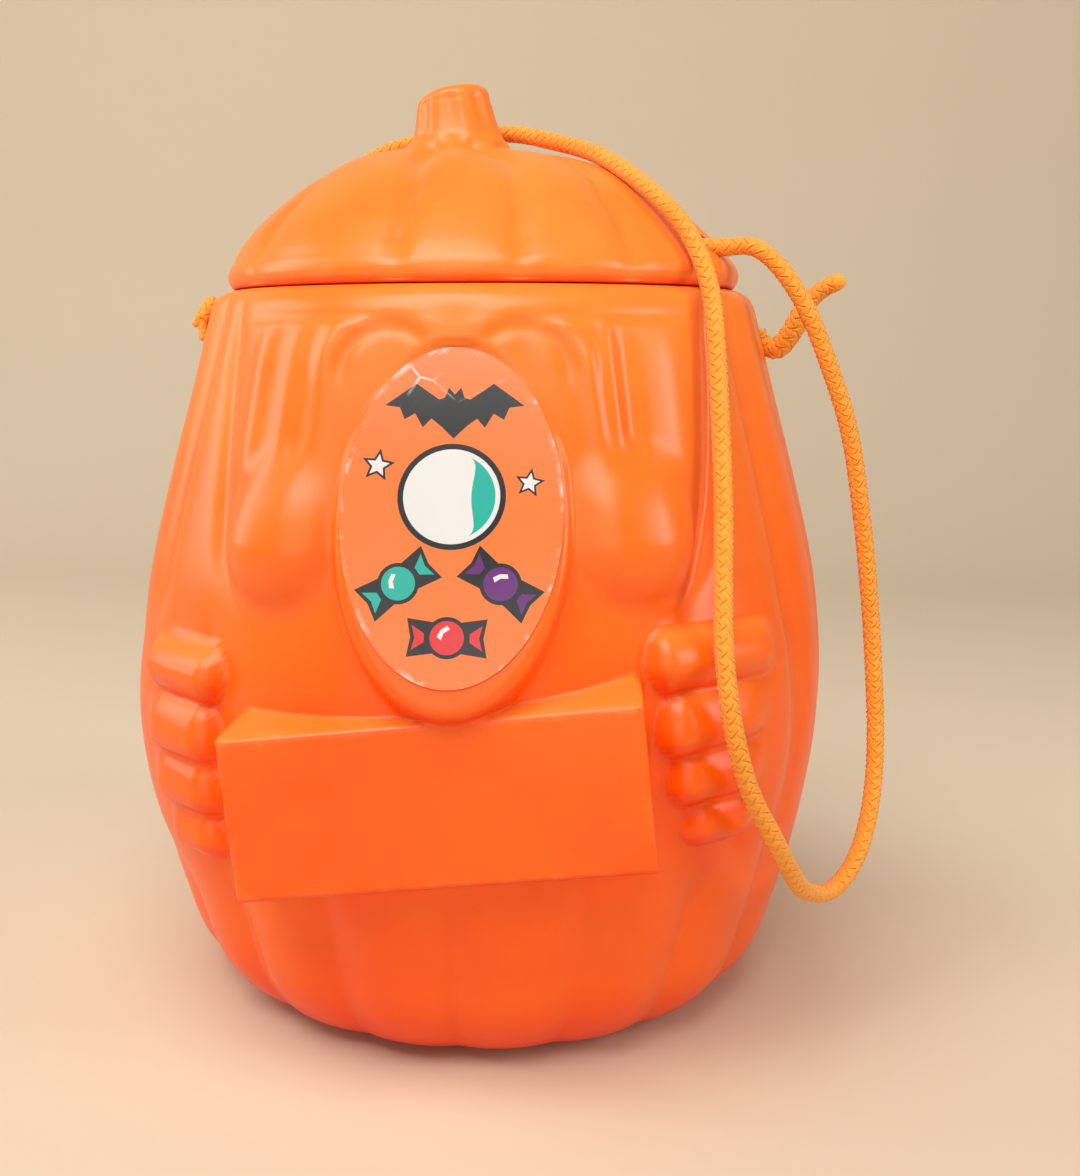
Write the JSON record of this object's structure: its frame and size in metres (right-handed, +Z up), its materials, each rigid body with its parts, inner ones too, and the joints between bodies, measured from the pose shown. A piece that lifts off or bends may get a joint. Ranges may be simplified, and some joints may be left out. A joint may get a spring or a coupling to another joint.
{
  "type": "pumpkin candy pail",
  "caption": "Round lobed pumpkin pail with a domed lift-off lid and stem, moulded cheeks, brows and hands holding a blank sign, an oval face label and a braided cord handle.",
  "frame": {"origin": "centre of the foot, on the surface that the pail stands on", "axes": "+Z up, front with the face label and sign towards -Y, +X to the right of the face as a viewer sees it"},
  "size_m": [0.176, 0.1695, 0.212],
  "materials": {
    "orange_plastic": "satin moulded polyethylene",
    "printed_label": "printed glossy label",
    "braided_cord": "braided synthetic cord"
  },
  "bodies": {
    "pail": {"pail_body": "orange_plastic", "face_sticker": "printed_label", "knot_left": "braided_cord", "knot_right": "braided_cord", "cord_inner_left": "braided_cord", "cord_inner_right": "braided_cord"},
    "lid": {"lid": "orange_plastic", "handle_cord": "braided_cord"}
  },
  "joints": [
    {"name": "lid_lift", "type": "slide", "parent": "pail", "child": "lid", "axis": [0, 0, 1], "range_m": [0, 0.08]}
  ]
}
